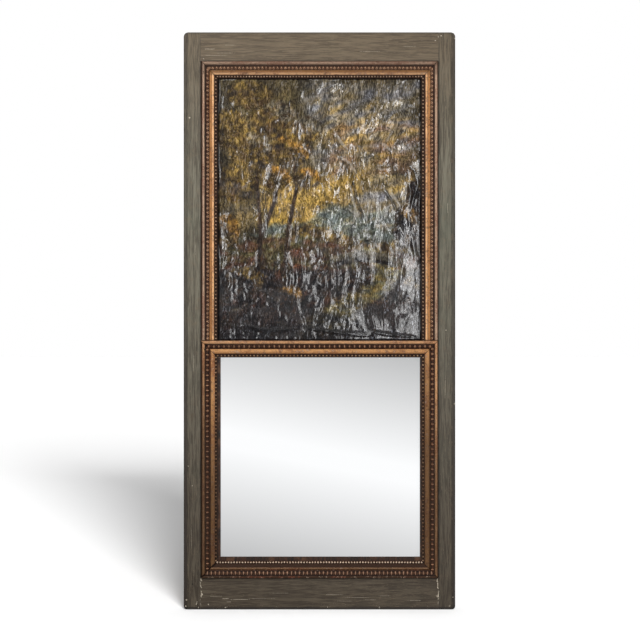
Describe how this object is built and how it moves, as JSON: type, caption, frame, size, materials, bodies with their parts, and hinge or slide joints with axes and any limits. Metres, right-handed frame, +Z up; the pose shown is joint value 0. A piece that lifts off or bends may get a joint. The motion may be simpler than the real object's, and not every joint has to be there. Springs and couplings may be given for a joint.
{
  "type": "trumeau mirror",
  "caption": "Tall painted wooden wall panel with a gilt-moulded varnished landscape canvas above a square mirror, bare boards and stretcher behind, and hanging rings that swing.",
  "frame": {"origin": "middle of the frame's bottom edge, half way through the frame's thickness", "axes": "+Z up, +X to the right as seen from the front, +Y to the back, which goes against the wall; the gilt front faces -Y"},
  "size_m": [0.683, 0.0464, 1.45],
  "materials": {
    "aged_brass": "tarnished brass",
    "bare_oak": "bare aged timber with a dry surface",
    "bare_pine": "bare aged softwood, greyed and oxidised brown",
    "gilt_wood": "worn water gilding over red-brown bole, dull in the grooves and bright on the raised fillets",
    "leaf_course": "darkened gilding with leaf tips rubbed bright",
    "mirror_glass": "old silvered plate glass, slightly soft at the edges",
    "painted_canvas": "old varnished oil paint on cockled canvas; bare linen behind",
    "painted_wood": "old grey-green oil paint, brushed along the grain, worn through to pale chips at the joints and corners",
    "pearl_course": "darkened gilding, pearl tops rubbed pale",
    "silvering": "dull grey tin foil backing",
    "stained_slip": "dark brown stain, patchy",
    "steel_screw": "dull zinc steel",
    "wrought_iron": "dark rusted iron"
  },
  "bodies": {
    "frame": {"backboard_nails": "wrought_iron", "bottom_rail": "painted_wood", "canvas": "painted_canvas", "canvas_tacks": "wrought_iron", "glass_wedges": "bare_oak", "hanger_screws_left": "steel_screw", "hanger_screws_right": "steel_screw", "hanger_strap_left": "aged_brass", "hanger_strap_right": "aged_brass", "middle_rail": "bare_pine", "mirror_backboard_centre": "bare_pine", "mirror_backboard_lower": "bare_pine", "mirror_backboard_upper": "bare_pine", "mirror_glass": "mirror_glass", "mirror_glue_blocks": "bare_pine", "mirror_leaf_strip_bottom": "leaf_course", "mirror_leaf_strip_left": "leaf_course", "mirror_leaf_strip_right": "leaf_course", "mirror_leaf_strip_top": "leaf_course", "mirror_moulding_bottom": "gilt_wood", "mirror_moulding_left": "gilt_wood", "mirror_moulding_right": "gilt_wood", "mirror_moulding_top": "gilt_wood", "mirror_pearl_strip_bottom": "pearl_course", "mirror_pearl_strip_left": "pearl_course", "mirror_pearl_strip_right": "pearl_course", "mirror_pearl_strip_top": "pearl_course", "mirror_silvering": "silvering", "mirror_slip_bottom": "stained_slip", "mirror_slip_left": "stained_slip", "mirror_slip_right": "stained_slip", "mirror_slip_top": "stained_slip", "picture_glue_blocks": "bare_pine", "picture_leaf_strip_left": "leaf_course", "picture_leaf_strip_right": "leaf_course", "picture_leaf_strip_top": "leaf_course", "picture_moulding_left": "gilt_wood", "picture_moulding_right": "gilt_wood", "picture_moulding_top": "gilt_wood", "picture_pearl_strip_left": "pearl_course", "picture_pearl_strip_right": "pearl_course", "picture_pearl_strip_top": "pearl_course", "stile_left": "painted_wood", "stile_right": "painted_wood", "stretcher_bottom": "bare_oak", "stretcher_crossbar": "bare_oak", "stretcher_keys": "bare_oak", "stretcher_left": "bare_oak", "stretcher_nails": "wrought_iron", "stretcher_right": "bare_oak", "stretcher_top": "bare_oak", "tenon_pegs": "bare_oak", "top_rail": "painted_wood"},
    "ring_left": {"hanger_ring_left": "aged_brass"},
    "ring_right": {"hanger_ring_right": "aged_brass"}
  },
  "joints": [
    {"name": "ring_left_hinge", "type": "hinge", "parent": "frame", "child": "ring_left", "pos_m": [-0.32025, 0.0184, 1.15], "axis": [1, 0, 0], "range_deg": [0, 180]},
    {"name": "ring_right_hinge", "type": "hinge", "parent": "frame", "child": "ring_right", "pos_m": [0.32025, 0.0184, 1.15], "axis": [1, 0, 0], "range_deg": [0, 180]}
  ]
}
